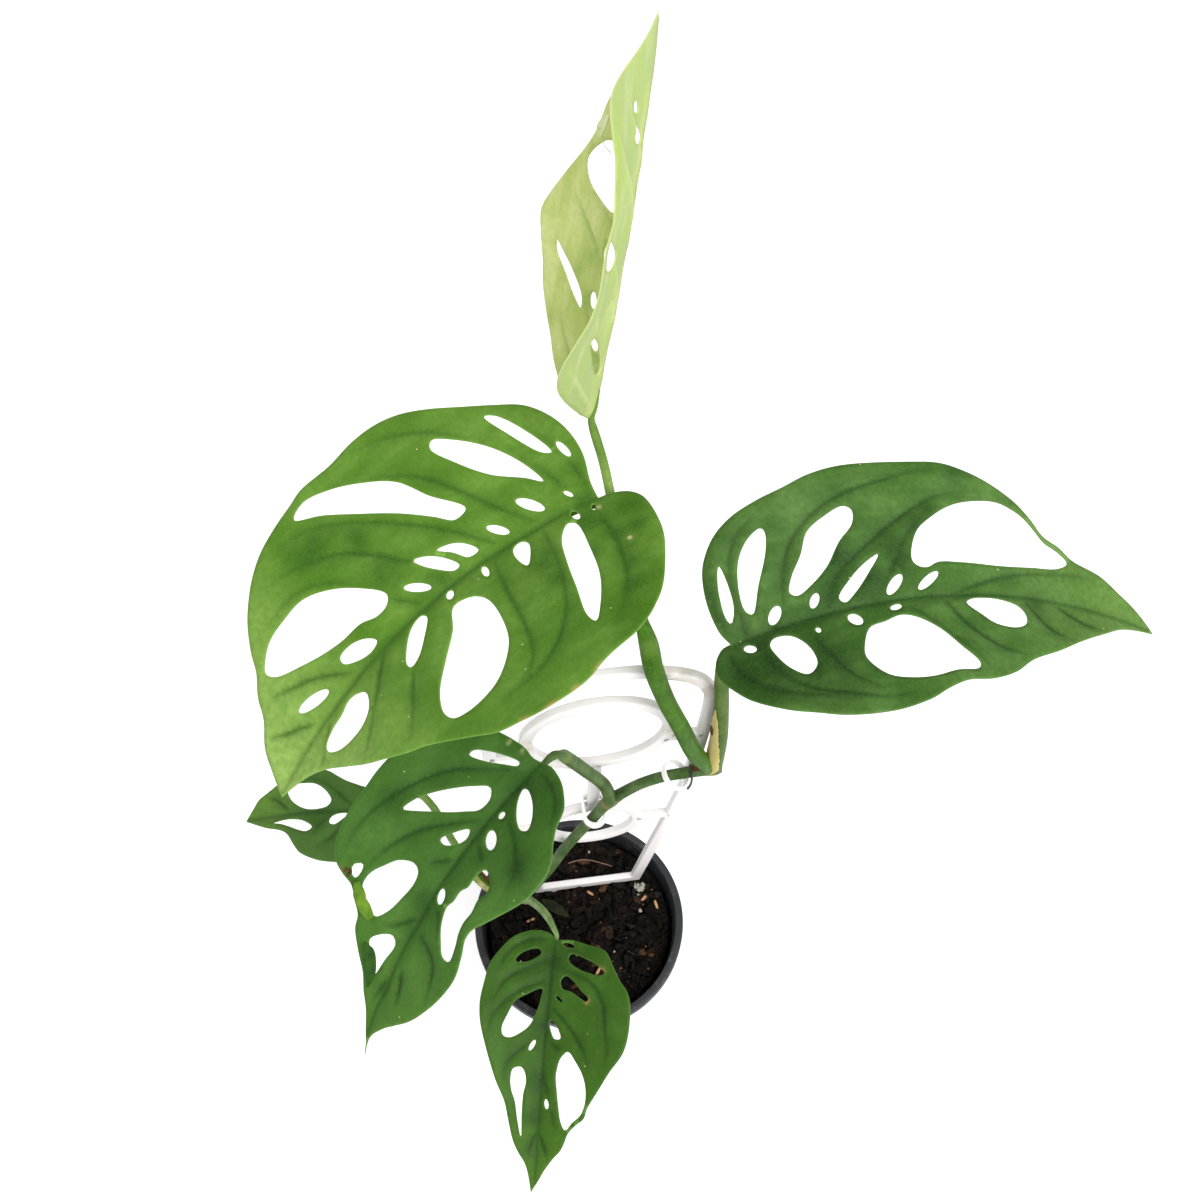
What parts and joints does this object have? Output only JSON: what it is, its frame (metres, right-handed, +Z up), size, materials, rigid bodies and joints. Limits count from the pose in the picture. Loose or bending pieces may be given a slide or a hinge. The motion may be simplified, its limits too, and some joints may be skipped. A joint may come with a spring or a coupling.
{
  "type": "potted monstera adansonii on a small trellis",
  "caption": "Young climbing aroid with holed leaves, tied to a small white trellis in a round black nursery pot.",
  "frame": {"origin": "centre of the pot's flat base, on the surface it stands on", "axes": "+Z up, +X towards the plant's right leaf, +Y away from the side the leaves face, with the trellis panel turned 8 degrees from XZ"},
  "size_m": [0.459, 0.3146, 0.6319],
  "materials": {
    "pot_plastic": "satin",
    "bark_soil": "matte",
    "trellis_plastic": "satin",
    "clip_plastic": "gloss",
    "black_wire": "satin",
    "green_stem": "satin",
    "green_leaf": "satin",
    "new_leaf": "satin"
  },
  "bodies": {
    "root": {"pot": "pot_plastic", "soil": "bark_soil", "trellis": "trellis_plastic", "vine_stem": "green_stem", "strap_clip": "clip_plastic", "hoop_clip": "clip_plastic", "tie_wire": "black_wire", "leaf_big_left": "green_leaf", "leaf_top_new": "new_leaf", "leaf_right": "green_leaf", "leaf_middle": "green_leaf", "leaf_front": "green_leaf", "leaf_left_low": "green_leaf"}
  },
  "joints": []
}
